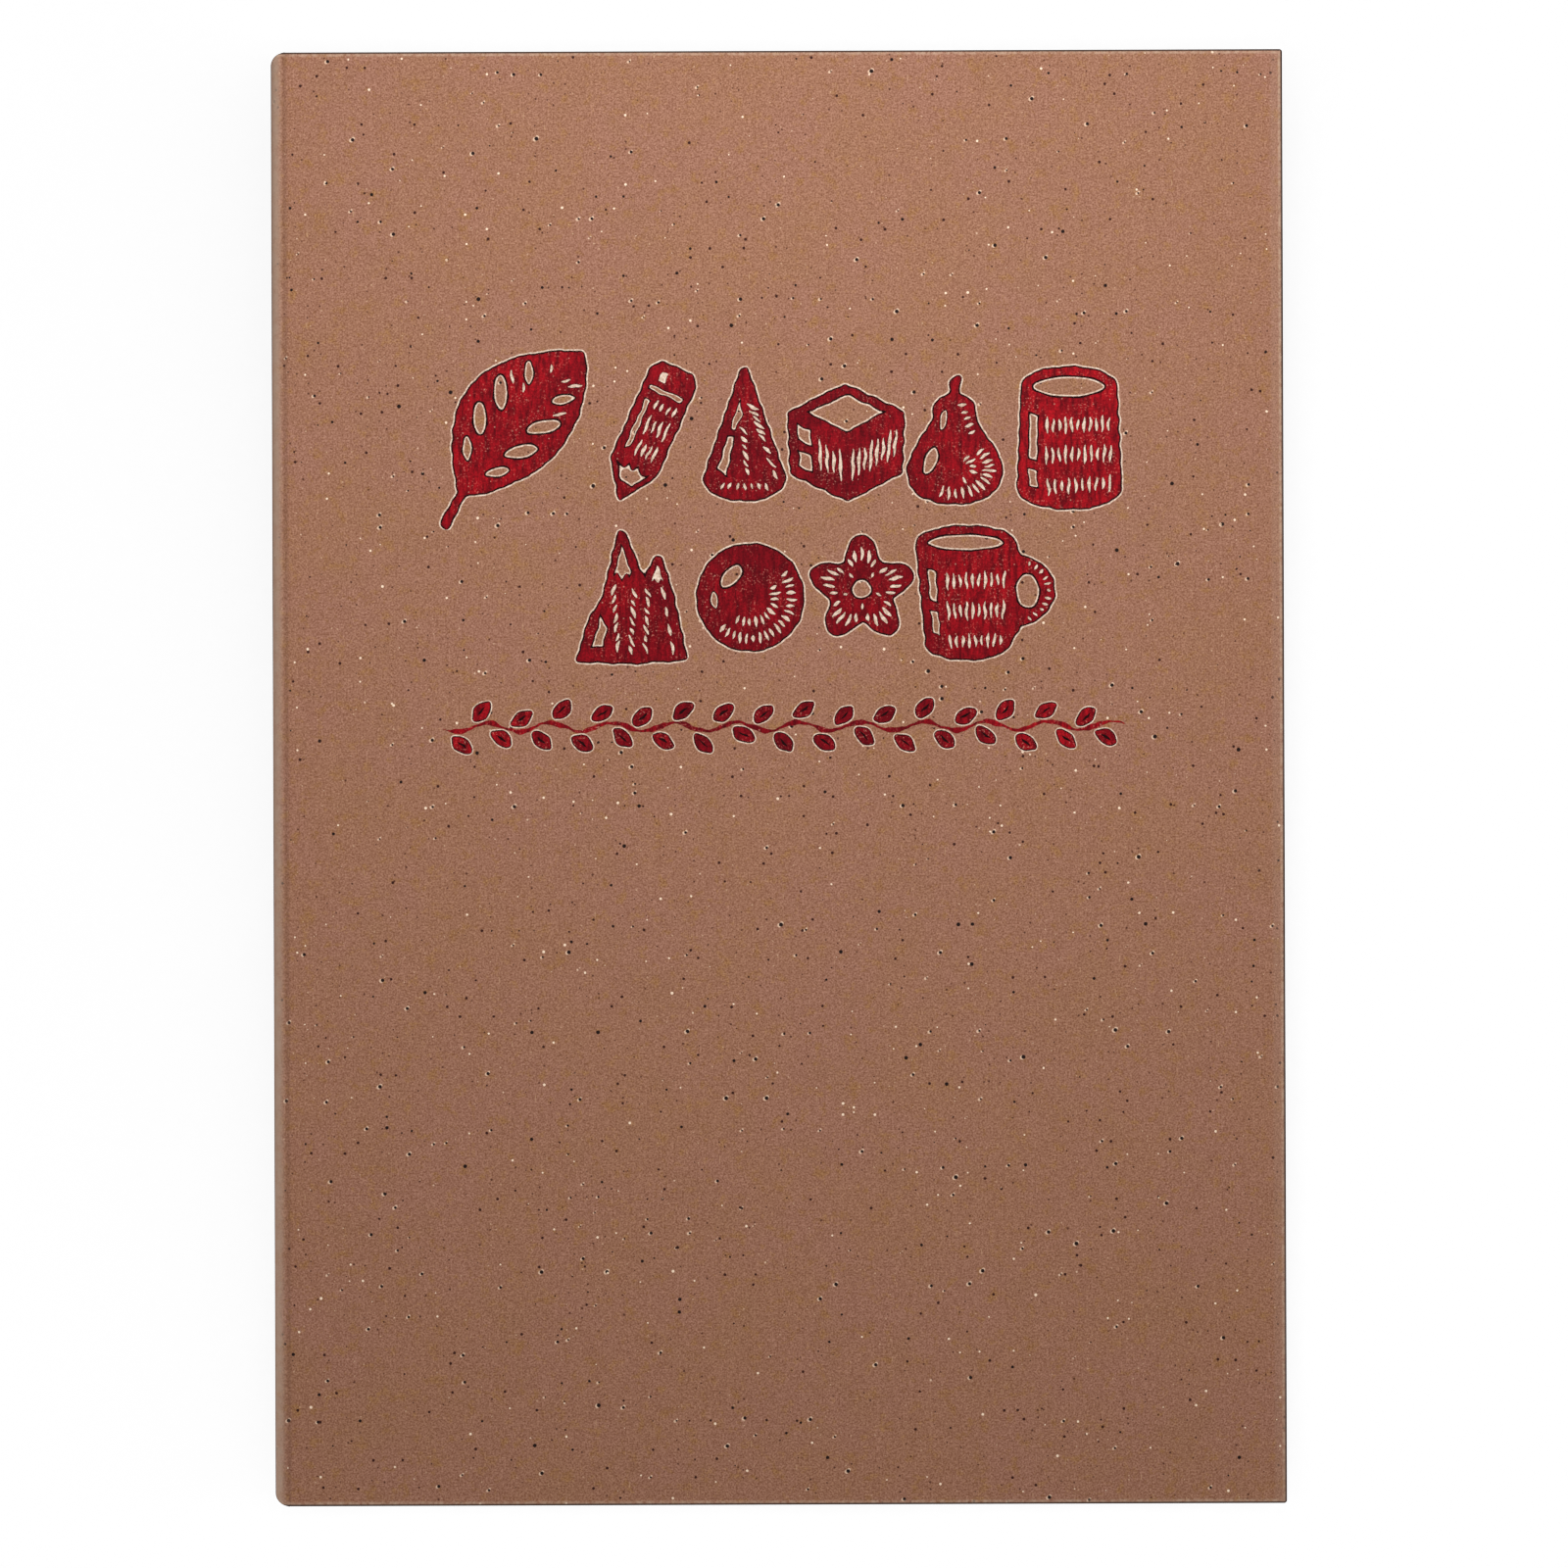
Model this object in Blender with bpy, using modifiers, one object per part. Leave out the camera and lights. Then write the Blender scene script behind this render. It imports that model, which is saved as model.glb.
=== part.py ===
"""Case-bound, section-sewn A4 sketchbook, lying closed on its back cover.

Frame: metres, +X from the spine to the fore-edge, +Y from tail to head, +Z from the back cover to the front cover.
The origin is the centre of the closed book's underside.

The book is two mirror halves, front and rear, that part at mid height. Each half holds half of the spine, four sewn
sections, three loose-standing leaves of the centre section, a flyleaf and a hinged cover. A rigid body can't bend,
so what bends in the real book (spine paper, lining, gauze, thread, folded sheets) is divided where it bends.
"""

import math

import bmesh
import bpy
from mathutils import Vector

MM = 0.001

# Driving dimensions of the closed book
CASE_WIDTH = 211 * MM
CASE_HEIGHT = 303 * MM
CASE_THICKNESS = 20 * MM
SQUARE = 3 * MM  # how far the boards stand past the leaves at head, tail and fore-edge
SHOULDER_RADIUS = 3 * MM
SPINE_CORNER_X = 3.8 * MM  # the rounded head and tail corners of the spine, in plan
SPINE_CORNER_Y = 2.8 * MM
JOINT_WIDTH = 3.2 * MM  # from the spine's face to the board's spine edge

# Thickness of each layer
COVER_PAPER = 0.25 * MM
BOARD = 2.0 * MM
PASTEDOWN = 0.2 * MM
LEAF = 0.2 * MM
SPINE_INLAY = 0.3 * MM
MULL = 0.15 * MM
THREAD_RADIUS = 0.175 * MM

# Clearances
GAP = 0.2 * MM
TURNING_GAP = 0.25 * MM  # beside a leaf or cover that turns

# Other sizes
TURN_IN = 15 * MM  # width of the cover paper folded over the board's inner face
PASTEDOWN_MARGIN = 2.5 * MM
SPINE_INLAY_MARGIN = 2 * MM
MULL_MARGIN = 18 * MM
MULL_FLANGE = 24 * MM
FOLD_RADIUS = 0.4 * MM
FIRST_STITCH = 14 * MM  # from the leaves' head and tail to the kettle stitches

SECTIONS_PER_HALF = 4
CENTRE_LEAVES_PER_HALF = 3

# Derived places
SPINE_X = -CASE_WIDTH / 2
FORE_X = CASE_WIDTH / 2
BOARD_SPINE_X = SPINE_X + JOINT_WIDTH
MID_Z = CASE_THICKNESS / 2
CASE_Y = CASE_HEIGHT / 2
LEAF_Y = CASE_Y - SQUARE
LEAF_FORE_X = FORE_X - SQUARE
INLAY_X = SPINE_X + COVER_PAPER + GAP
MULL_X = INLAY_X + SPINE_INLAY + GAP
THREAD_X = MULL_X + MULL + GAP + THREAD_RADIUS
FOLD_X = THREAD_X + THREAD_RADIUS + GAP
TURN_IN_TOP = COVER_PAPER + GAP + BOARD + GAP + COVER_PAPER
PASTEDOWN_TOP = TURN_IN_TOP + GAP + PASTEDOWN
FLYLEAF_LOW = PASTEDOWN_TOP + TURNING_GAP
FLYLEAF_TOP = FLYLEAF_LOW + LEAF

# Joint axes, all along -Y
COVER_HINGE_X = SPINE_X + 1.4 * MM
COVER_HINGE_LIFT = 0.2 * MM  # the cover hinge stands this far outside the cover's face
CENTRE_AXIS_X = SPINE_X - 0.15 * MM

COLOURS = {
    "kraft_paper": ((0.33, 0.16, 0.10, 1), 0.85),
    "greyboard": ((0.30, 0.28, 0.25, 1), 0.9),
    "drawing_paper": ((0.86, 0.84, 0.78, 1), 0.8),
    "endpaper": ((0.80, 0.77, 0.69, 1), 0.8),
    "spine_card": ((0.55, 0.52, 0.46, 1), 0.9),
    "gauze": ((0.78, 0.76, 0.70, 1), 0.95),
    "thread": ((0.90, 0.89, 0.84, 1), 0.7),
}


def clear_scene():
    for old in list(bpy.data.objects):
        bpy.data.objects.remove(old, do_unlink=True)


def new_collection(name):
    collection = bpy.data.collections.new(name)
    bpy.context.scene.collection.children.link(collection)
    return collection


def make_material(name):
    colour, roughness = COLOURS[name]
    material = bpy.data.materials.new(name)
    material.use_nodes = True
    shader = material.node_tree.nodes["Principled BSDF"]
    shader.inputs["Base Color"].default_value = colour
    shader.inputs["Roughness"].default_value = roughness
    shader.inputs["Metallic"].default_value = 0.0
    return material


def make_pivot(name, x, z):
    """An empty on a joint's axis, which the pieces that turn about it are parented to."""
    pivot = bpy.data.objects.new(name, None)
    pivot.empty_display_size = 0.02
    pivot.location = (x, 0, z)
    parts.objects.link(pivot)
    return pivot


def place(piece, pivot):
    """Puts a piece, modelled in the book's frame, under the empty on its joint's axis."""
    if pivot is not None:
        piece.parent = pivot
        piece.location = piece.location - pivot.location


def box_mesh(name, low, high):
    """A cube primitive sized between two corners, with its origin at its centre."""
    low, high = Vector(low), Vector(high)
    mesh = bpy.data.meshes.new(name)
    form = bmesh.new()
    bmesh.ops.create_cube(form, size=1.0)
    bmesh.ops.scale(form, vec=high - low, verts=form.verts)
    form.to_mesh(mesh)
    form.free()
    return mesh, (low + high) / 2


def add_box(name, low, high, material, pivot=None):
    mesh, centre = box_mesh(name, low, high)
    mesh.materials.append(materials[material])
    piece = bpy.data.objects.new(name, mesh)
    piece.location = centre
    parts.objects.link(piece)
    place(piece, pivot)
    return piece


def add_cutter(name, low, high):
    mesh, centre = box_mesh(name, low, high)
    cutter = bpy.data.objects.new(name, mesh)
    cutter.location = centre
    hide_cutter(cutter)
    return cutter


def hide_cutter(cutter):
    cutter.hide_render = True
    cutter.display_type = "WIRE"
    cutters.objects.link(cutter)


def cut(piece, cutter, operation="DIFFERENCE"):
    boolean = piece.modifiers.new(cutter.name, "BOOLEAN")
    boolean.operation = operation
    boolean.object = cutter


def fill_outline(name, points, height):
    """A flat outline, as a 2D curve filled on both sides and extruded to a height."""
    curve = bpy.data.curves.new(name, "CURVE")
    curve.dimensions = "2D"
    curve.fill_mode = "BOTH"
    curve.extrude = height / 2
    spline = curve.splines.new("POLY")
    spline.points.add(len(points) - 1)
    for point, (x, y) in zip(spline.points, points):
        point.co = (x, y, 0, 1)
    spline.use_cyclic_u = True
    return bpy.data.objects.new(name, curve)


def curve_to_mesh(source, name):
    """The curve object's solid as a mesh object with its caps welded."""
    scene_objects = bpy.context.scene.collection.objects
    scene_objects.link(source)
    bpy.context.view_layer.update()
    evaluated = source.evaluated_get(bpy.context.evaluated_depsgraph_get())
    mesh = bpy.data.meshes.new_from_object(evaluated)
    form = bmesh.new()
    form.from_mesh(mesh)
    bmesh.ops.remove_doubles(form, verts=form.verts, dist=0.001 * MM)
    bmesh.ops.recalc_face_normals(form, faces=form.faces)
    form.to_mesh(mesh)
    form.free()
    piece = bpy.data.objects.new(name, mesh)
    piece.matrix_world = source.matrix_world.copy()
    bpy.data.objects.remove(source, do_unlink=True)
    return piece


def arc(centre_x, centre_y, radius_x, radius_y, start, end, steps=8):
    """Points along an elliptical arc, with the angles in degrees."""
    points = []
    for step in range(steps + 1):
        angle = math.radians(start + (end - start) * step / steps)
        points.append((centre_x + radius_x * math.cos(angle), centre_y + radius_y * math.sin(angle)))
    return points


def case_plan_cutter(name):
    """The case's outline from above: square at the fore-edge, rounded at the spine's head and tail."""
    corner_x = SPINE_X + SPINE_CORNER_X
    corner_y = CASE_Y - SPINE_CORNER_Y
    outline = [(FORE_X, -CASE_Y), (FORE_X, CASE_Y)]
    outline += arc(corner_x, corner_y, SPINE_CORNER_X, SPINE_CORNER_Y, 90, 180)
    outline += arc(corner_x, -corner_y, SPINE_CORNER_X, SPINE_CORNER_Y, 180, 270)
    cutter = curve_to_mesh(fill_outline(name, outline, 2 * CASE_THICKNESS), name)
    cutter.location = (0, 0, MID_Z)
    hide_cutter(cutter)
    return cutter


def flip_z(z, front):
    """A height in the rear half, or the same layer's height in the front half."""
    return CASE_THICKNESS - z if front else z


def z_pair(low, high, front):
    """The two heights of a layer in either half, lowest first."""
    return sorted((flip_z(low, front), flip_z(high, front)))


def add_spine_paper(side, front, plan, pivot):
    """Half of the paper spine, from mid height round the shoulder, ending just short of the board."""
    centre_x = SPINE_X + SHOULDER_RADIUS
    inner_radius = SHOULDER_RADIUS - COVER_PAPER
    profile = [(SPINE_X, MID_Z - GAP / 2)]
    profile += arc(centre_x, SHOULDER_RADIUS, SHOULDER_RADIUS, SHOULDER_RADIUS, 180, 270)
    profile += arc(centre_x, SHOULDER_RADIUS, inner_radius, inner_radius, 270, 180)
    profile += [(SPINE_X + COVER_PAPER, MID_Z - GAP / 2)]
    if front:
        profile = [(x, CASE_THICKNESS - z) for x, z in reversed(profile)]
    name = "spine_paper_" + side
    source = fill_outline(name + "_outline", profile, CASE_HEIGHT)
    source.rotation_euler = (math.radians(90), 0, 0)
    piece = curve_to_mesh(source, name)
    piece.data.materials.clear()
    piece.data.materials.append(materials["kraft_paper"])
    parts.objects.link(piece)
    place(piece, pivot)
    cut(piece, plan, "INTERSECT")


def add_cover(side, front, pivot):
    """A board, the kraft paper wrapped round three of its edges, and the pastedown over the turn-ins."""
    low, high = z_pair(COVER_PAPER + GAP, COVER_PAPER + GAP + BOARD, front)
    board_fore_x = FORE_X - COVER_PAPER - GAP
    board_y = CASE_Y - COVER_PAPER - GAP
    add_box(
        side + "_board",
        (BOARD_SPINE_X, -board_y, low),
        (board_fore_x, board_y, high),
        "greyboard",
        pivot,
    )

    low, high = z_pair(0, TURN_IN_TOP, front)
    paper = add_box(
        side + "_cover_paper",
        (BOARD_SPINE_X, -CASE_Y, low),
        (FORE_X, CASE_Y, high),
        "kraft_paper",
        pivot,
    )
    past_spine_edge = BOARD_SPINE_X - JOINT_WIDTH
    low, high = z_pair(COVER_PAPER, TURN_IN_TOP - COVER_PAPER, front)
    pocket = add_cutter(
        side + "_board_pocket",
        (past_spine_edge, -CASE_Y + COVER_PAPER, low),
        (FORE_X - COVER_PAPER, CASE_Y - COVER_PAPER, high),
    )
    low, high = z_pair(TURN_IN_TOP - 2 * COVER_PAPER, TURN_IN_TOP + COVER_PAPER, front)
    window = add_cutter(
        side + "_turn_in_window",
        (past_spine_edge, -CASE_Y + TURN_IN, low),
        (FORE_X - TURN_IN, CASE_Y - TURN_IN, high),
    )
    cut(paper, pocket)
    cut(paper, window)

    low, high = z_pair(TURN_IN_TOP + GAP, PASTEDOWN_TOP, front)
    add_box(
        side + "_pastedown",
        (BOARD_SPINE_X, -CASE_Y + PASTEDOWN_MARGIN, low),
        (FORE_X - PASTEDOWN_MARGIN, CASE_Y - PASTEDOWN_MARGIN, high),
        "endpaper",
        pivot,
    )

    flange_low = COVER_PAPER + GAP + BOARD + GAP
    low, high = z_pair(flange_low, flange_low + MULL, front)
    flange_y = CASE_Y - TURN_IN - 2 * GAP
    add_box(
        side + "_gauze_flange",
        (BOARD_SPINE_X, -flange_y, low),
        (BOARD_SPINE_X + MULL_FLANGE, flange_y, high),
        "gauze",
        pivot,
    )


def add_spine_linings(side, front, pivot):
    """The card inlay and the gauze behind the section folds."""
    low, high = z_pair(SHOULDER_RADIUS, MID_Z - GAP / 2, front)
    inlay_y = CASE_Y - SPINE_INLAY_MARGIN - SPINE_CORNER_Y
    add_box(
        "spine_inlay_" + side,
        (INLAY_X, -inlay_y, low),
        (INLAY_X + SPINE_INLAY, inlay_y, high),
        "spine_card",
        pivot,
    )
    low, high = z_pair(FLYLEAF_TOP, MID_Z - GAP / 2, front)
    add_box(
        "spine_gauze_" + side,
        (MULL_X, -LEAF_Y + MULL_MARGIN, low),
        (MULL_X + MULL, LEAF_Y - MULL_MARGIN, high),
        "gauze",
        pivot,
    )


def section_layout():
    """The lowest height and the thickness of each section in the rear half, and its leaves' heights."""
    leaf_step = LEAF + GAP
    leaf_lows = [MID_Z - GAP / 2 - LEAF - leaf_step * n for n in range(CENTRE_LEAVES_PER_HALF)]
    stack_low = FLYLEAF_TOP + TURNING_GAP
    stack_high = leaf_lows[-1] - TURNING_GAP
    pitch = (stack_high - stack_low + GAP) / SECTIONS_PER_HALF
    section_lows = [stack_low + pitch * n for n in range(SECTIONS_PER_HALF)]
    return section_lows, pitch - GAP, leaf_lows


def add_section(name, low, high, pivot):
    """One sewn section: folded sheets, with a rounded fold at the spine."""
    section = add_box(
        name,
        (FOLD_X, -LEAF_Y, low),
        (LEAF_FORE_X, LEAF_Y, high),
        "drawing_paper",
        pivot,
    )
    weights = section.data.attributes.new("bevel_weight_edge", "FLOAT", "EDGE")
    for edge in section.data.edges:
        ends = [section.data.vertices[index].co for index in edge.vertices]
        at_fold = all(end.x < 0 for end in ends)
        along_fold = abs(ends[0].y - ends[1].y) > LEAF_Y
        weights.data[edge.index].value = 1.0 if at_fold and along_fold else 0.0
    bevel = section.modifiers.new("fold", "BEVEL")
    bevel.width = FOLD_RADIUS
    bevel.segments = 4
    bevel.limit_method = "WEIGHT"
    return section


def add_thread(side, heights, pivot):
    """One length of thread behind the folds, stepping to the next section at each kettle stitch."""
    reach = LEAF_Y - FIRST_STITCH
    points = []
    for index, height in enumerate(heights):
        ends = (-reach, reach) if index % 2 == 0 else (reach, -reach)
        points += [(THREAD_X, end, height) for end in ends]
    curve = bpy.data.curves.new("sewing_thread_" + side, "CURVE")
    curve.dimensions = "3D"
    curve.bevel_depth = THREAD_RADIUS
    curve.bevel_resolution = 2
    curve.use_fill_caps = True
    spline = curve.splines.new("POLY")
    spline.points.add(len(points) - 1)
    for point, place_ in zip(spline.points, points):
        point.co = (*place_, 1)
    thread = curve_to_mesh(bpy.data.objects.new(curve.name + "_route", curve), "sewing_thread_" + side)
    thread.data.materials.clear()
    thread.data.materials.append(materials["thread"])
    thread.data.shade_smooth()
    parts.objects.link(thread)
    place(thread, pivot)


def add_half(side, front, numbers, plan, half_pivot):
    """Everything in one half of the book. numbers are its sections' numbers, from the cover inwards."""
    cover_hinge_z = flip_z(-COVER_HINGE_LIFT, front)
    cover_side = "front" if front else "back"
    cover_pivot = make_pivot(cover_side + "_cover_axis", COVER_HINGE_X, cover_hinge_z)
    add_cover(cover_side, front, cover_pivot)
    add_spine_paper(side, front, plan, half_pivot)
    add_spine_linings(side, front, half_pivot)

    section_lows, thickness, leaf_lows = section_layout()
    for number, section_low in zip(numbers, section_lows):
        low, high = z_pair(section_low, section_low + thickness, front)
        add_section(f"section_{number}", low, high, half_pivot)

    low, high = z_pair(FLYLEAF_LOW, FLYLEAF_TOP, front)
    flyleaf_pivot = make_pivot(cover_side + "_flyleaf_axis", FOLD_X, (low + high) / 2)
    add_box(
        cover_side + "_flyleaf",
        (FOLD_X, -LEAF_Y, low),
        (LEAF_FORE_X, LEAF_Y, high),
        "endpaper",
        flyleaf_pivot,
    )
    for number, leaf_low in enumerate(leaf_lows, start=1):
        low, high = z_pair(leaf_low, leaf_low + LEAF, front)
        leaf_pivot = make_pivot(f"centre_leaf_{side}_{number}_axis", FOLD_X, (low + high) / 2)
        add_box(
            f"centre_leaf_{side}_{number}",
            (FOLD_X, -LEAF_Y, low),
            (LEAF_FORE_X, LEAF_Y, high),
            "drawing_paper",
            leaf_pivot,
        )
    heights = [flip_z(low + thickness / 2, front) for low in section_lows]
    add_thread(side, heights, half_pivot)


clear_scene()
parts = new_collection("sketchbook")
cutters = new_collection("cutters")
materials = {name: make_material(name) for name in COLOURS}
plan_cutter = case_plan_cutter("case_plan")
centre_pivot = make_pivot("centre_axis", CENTRE_AXIS_X, MID_Z)
add_half("front", True, (1, 2, 3, 4), plan_cutter, centre_pivot)
add_half("rear", False, (8, 7, 6, 5), plan_cutter, None)
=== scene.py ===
import random
from math import atan2, cos, degrees, dist, pi, radians, sin, sqrt

import bmesh
import bpy
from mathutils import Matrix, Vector


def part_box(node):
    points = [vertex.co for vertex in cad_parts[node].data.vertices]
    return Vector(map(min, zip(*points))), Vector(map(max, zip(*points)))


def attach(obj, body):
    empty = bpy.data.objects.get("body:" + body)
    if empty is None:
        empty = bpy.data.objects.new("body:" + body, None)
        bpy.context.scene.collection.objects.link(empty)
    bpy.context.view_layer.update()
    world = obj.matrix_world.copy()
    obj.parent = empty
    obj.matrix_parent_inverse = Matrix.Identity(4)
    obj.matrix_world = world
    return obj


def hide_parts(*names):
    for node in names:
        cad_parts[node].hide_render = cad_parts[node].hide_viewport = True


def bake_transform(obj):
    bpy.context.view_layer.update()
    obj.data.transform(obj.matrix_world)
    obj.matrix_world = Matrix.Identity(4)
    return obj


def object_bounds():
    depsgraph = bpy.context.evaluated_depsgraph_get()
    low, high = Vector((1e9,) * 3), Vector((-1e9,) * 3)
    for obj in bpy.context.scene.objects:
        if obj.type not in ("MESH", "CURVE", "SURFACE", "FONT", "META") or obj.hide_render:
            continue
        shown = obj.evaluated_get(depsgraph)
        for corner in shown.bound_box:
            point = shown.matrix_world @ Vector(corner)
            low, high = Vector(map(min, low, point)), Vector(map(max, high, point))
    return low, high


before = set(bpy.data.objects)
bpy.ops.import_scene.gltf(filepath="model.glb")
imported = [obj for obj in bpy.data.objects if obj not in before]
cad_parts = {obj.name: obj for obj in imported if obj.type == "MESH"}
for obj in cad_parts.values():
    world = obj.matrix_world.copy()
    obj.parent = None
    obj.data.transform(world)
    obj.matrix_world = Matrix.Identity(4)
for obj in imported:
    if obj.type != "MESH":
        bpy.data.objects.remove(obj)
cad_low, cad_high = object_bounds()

MM = 0.001
TOUCHING = 1e-7  # points nearer to each other than this are one point

# Places that come from the CAD model
SPINE_X, CASE_Y = cad_low.x, cad_high.y
FORE_X, THICKNESS = cad_high.x, cad_high.z
MID_Z = THICKNESS / 2
BOARD_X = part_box("back_board")[0].x
FOLD_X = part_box("section_5")[0].x
LEAF_FORE_X, LEAF_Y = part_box("section_5")[1].x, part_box("section_5")[1].y
FLYLEAF_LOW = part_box("back_flyleaf")[0].z
PASTEDOWN_FORE_X, PASTEDOWN_Y, PASTEDOWN_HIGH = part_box("back_pastedown")[1]
TURN_IN_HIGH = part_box("back_cover_paper")[1].z

# The two halves of the book: a name, whether it is the front, the part of the block, and the cover
SIDES = (("front", True, "front_half", "front_cover"), ("back", False, "rear_half", "back_cover"))

# The kraft paper round the case
FOIL_ROOM = 0.04 * MM  # the paper's face lies this far inside the CAD box, and the foil fills it
KRAFT_THICKNESS = 0.3 * MM
EDGE_ROUND = 0.55 * MM
EDGE_SEGMENTS = 4
TURN_IN = 15 * MM
SHOULDER_RADIUS = 3 * MM
GROOVE_DEPTH = 0.14 * MM
GROOVE_HALF_WIDTH = 0.7 * MM
SPINE_CORNER_X = 3.8 * MM
SPINE_CORNER_Y = 2.8 * MM
SPINE_MIDDLE = 1.2 * MM  # half the height of the strip of spine paper at the middle of the spine
# Rows of points across the paper, in shares of its half height
ROW_SHARES = (-0.995, -0.98, -0.9, -0.6, -0.3, 0, 0.3, 0.6, 0.9, 0.98, 0.995)

# The floor, just below the lowest place of a cover that is folded right back
FLOOR_Z = -7.4 * MM
FLOOR_HALF_WIDTH = 3.0

# Leaves
SHEET_THICKNESS = 0.17 * MM
CENTRE_SHEET_THICKNESS = 0.27 * MM
CENTRE_SHEET_RISE = 0.06 * MM  # how far a centre sheet's face lies above its CAD leaf's
SECTION_SWELL = 0.05 * MM  # how far a section's loose leaves spread beyond their pressed thickness
SHEETS_PER_SECTION = 3
TRIM_SCATTER = 0.10 * MM
TRIM_SEED = 7
LEAF_BEND = 46 * MM  # how far from the gutter a leaf's points lie close together
SLIT_X = SPINE_X + 0.45 * MM  # the innermost sheet runs this near to the spine paper
SLIT_LOW, SLIT_HIGH = 0.095 * MM, 0.04 * MM  # its two faces' distance from mid height
PASTE_GAP = 0.02 * MM  # how far the endpaper stays inside its CAD solids


# ---- mesh helpers


def link(piece):
    bpy.context.scene.collection.objects.link(piece)
    return piece


def store_rest_place(piece):
    """Keeps each point's place at rest, so that a pattern doesn't slide as the paper bends."""
    mesh = piece.data
    attribute = mesh.attributes.new("rest_place", "FLOAT_VECTOR", "POINT")
    places = [component for vertex in mesh.vertices for component in vertex.co]
    attribute.data.foreach_set("vector", places)


def evaluated_mesh(source):
    """The mesh that an object's modifiers or curve make."""
    bpy.context.view_layer.update()
    evaluated = source.evaluated_get(bpy.context.evaluated_depsgraph_get())
    return bpy.data.meshes.new_from_object(evaluated)


def thicken(piece, thickness):
    """Gives an open sheet its thickness, behind its faces."""
    solidify = piece.modifiers.new("thickness", "SOLIDIFY")
    solidify.thickness = thickness
    solidify.offset = -1
    solidify.use_even_offset = True
    mesh = evaluated_mesh(piece)
    piece.modifiers.clear()
    piece.data = mesh


def shade(mesh, sharp_angle):
    mesh.shade_smooth()
    mesh.set_sharp_from_angle(angle=radians(sharp_angle))


def make_piece(name, form, material, thickness=None):
    """A smooth-shaded piece from a bmesh, thickened if it is an open sheet."""
    mesh = bpy.data.meshes.new(name)
    form.to_mesh(mesh)
    form.free()
    mesh.materials.append(material)
    shade(mesh, 35)
    piece = link(bpy.data.objects.new(name, mesh))
    if thickness:
        thicken(piece, thickness)
    store_rest_place(piece)
    return piece


def face_outwards(form, direction):
    """Turns all faces so that the largest one looks along a direction."""
    bmesh.ops.recalc_face_normals(form, faces=form.faces)
    form.normal_update()
    largest = max(form.faces, key=lambda face: face.calc_area())
    if largest.normal.dot(Vector(direction)) < 0:
        bmesh.ops.reverse_faces(form, faces=form.faces)


def grid_faces(form, columns):
    """Quads between neighbouring columns of vertices."""
    for left, right in zip(columns, columns[1:]):
        for index in range(len(left) - 1):
            form.faces.new((left[index], left[index + 1], right[index + 1], right[index]))


def extruded_piece(name, solids, material):
    """A piece of solids, each an outline in X and Z that runs between two places in Y."""
    form = bmesh.new()
    for outline, y_low, y_high in solids:
        low = [form.verts.new((x, y_low, z)) for x, z in outline]
        high = [form.verts.new((x, y_high, z)) for x, z in outline]
        form.faces.new(low)
        form.faces.new(high[::-1])
        count = len(outline)
        for index in range(count):
            after = (index + 1) % count
            form.faces.new((low[index], high[index], high[after], low[after]))
    bmesh.ops.recalc_face_normals(form, faces=form.faces)
    return make_piece(name, form, material)


def arc(centre, radius, start, end, steps):
    """Points along a circular arc, with the angles in degrees."""
    points = []
    for step in range(steps + 1):
        angle = radians(start + (end - start) * step / steps)
        points.append((centre[0] + radius * cos(angle), centre[1] + radius * sin(angle)))
    return points


def spread(low, high, count):
    return [low + (high - low) * index / count for index in range(count + 1)]


def side_z(height, front):
    """A height in the rear half of the book, or its mirror image in the front half."""
    return THICKNESS - height if front else height


# ---- node helpers


def wire(tree, node, inputs):
    """Sets a node's inputs, each to a value or from another node."""
    for name, value in inputs.items():
        socket = node.inputs[name]
        if isinstance(value, bpy.types.NodeSocket):
            tree.links.new(value, socket)
        elif socket.type == "RGBA":
            socket.default_value = (*value, 1)
        else:
            socket.default_value = value


def add_node(tree, kind, inputs, **settings):
    node = tree.nodes.new("ShaderNode" + kind)
    for name, value in settings.items():
        setattr(node, name, value)
    wire(tree, node, inputs)
    return node.outputs


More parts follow.
